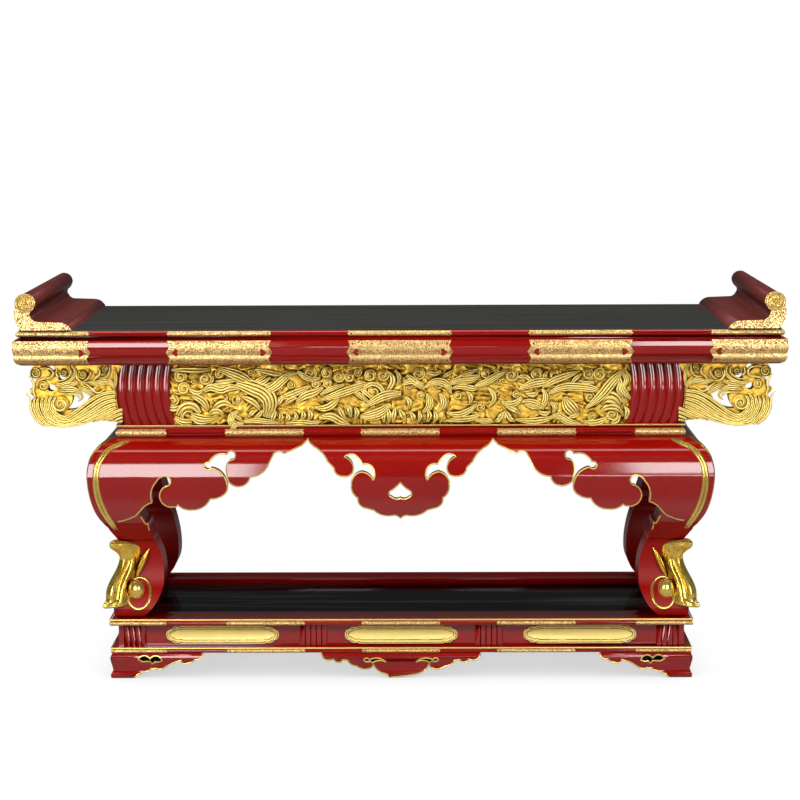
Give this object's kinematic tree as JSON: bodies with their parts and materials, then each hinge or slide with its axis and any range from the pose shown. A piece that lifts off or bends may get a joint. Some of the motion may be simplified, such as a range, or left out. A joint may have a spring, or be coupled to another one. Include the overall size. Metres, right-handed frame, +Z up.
{
  "type": "altar table",
  "caption": "Lacquered altar table with scroll ends, carved gilt frieze and wings, cusped aprons on cat legs, and a low base frame on bracket feet.",
  "frame": {"origin": "middle of the footprint, on the floor", "axes": "+X to the right as seen from the front, +Y to the back, +Z up; the carved front looks along -Y"},
  "size_m": [1.515, 0.4995, 0.7753],
  "materials": {
    "black_lacquer": "satin black lacquer",
    "red_lacquer": "glossy deep red lacquer",
    "gilt_wood": "gold leaf over carved wood",
    "gilt_brass": "gilt sheet, chased and punched",
    "plain_wood": "plain planed wood"
  },
  "bodies": {
    "root": {"top_panel": "black_lacquer", "base_panel": "black_lacquer", "top_rail_front": "red_lacquer", "top_rail_back": "red_lacquer", "top_rail_left": "red_lacquer", "top_rail_right": "red_lacquer", "waist_posts": "red_lacquer", "waist_board_back": "red_lacquer", "waist_board_left": "red_lacquer", "waist_board_right": "red_lacquer", "frieze_board": "red_lacquer", "mid_rail_front": "red_lacquer", "mid_rail_back": "red_lacquer", "mid_rail_left": "red_lacquer", "mid_rail_right": "red_lacquer", "front_legs": "red_lacquer", "back_legs": "red_lacquer", "apron_front": "red_lacquer", "apron_back": "red_lacquer", "apron_left": "red_lacquer", "apron_right": "red_lacquer", "base_rail_front": "red_lacquer", "base_rail_back": "red_lacquer", "base_rail_left": "red_lacquer", "base_rail_right": "red_lacquer", "base_board_front": "red_lacquer", "base_board_back": "red_lacquer", "base_board_left": "red_lacquer", "base_board_right": "red_lacquer", "base_lower_rail_front": "red_lacquer", "base_lower_rail_back": "red_lacquer", "base_lower_rail_left": "red_lacquer", "base_lower_rail_right": "red_lacquer", "fluted_blocks": "red_lacquer", "bracket_feet": "red_lacquer", "base_pendant": "red_lacquer", "scroll_ends": "red_lacquer", "frieze_carving": "gilt_wood", "wings": "gilt_wood", "leaf_ornaments": "gilt_wood", "foot_bosses": "gilt_wood", "leg_beads": "gilt_wood", "lobed_panels": "gilt_wood", "lip_fittings": "gilt_brass", "band_fittings": "gilt_brass", "mid_fittings": "gilt_brass", "base_fittings": "gilt_brass", "scroll_caps": "gilt_brass", "top_battens": "plain_wood", "mid_stretchers": "plain_wood", "panel_bearers": "plain_wood", "dowels": "plain_wood"}
  },
  "joints": []
}
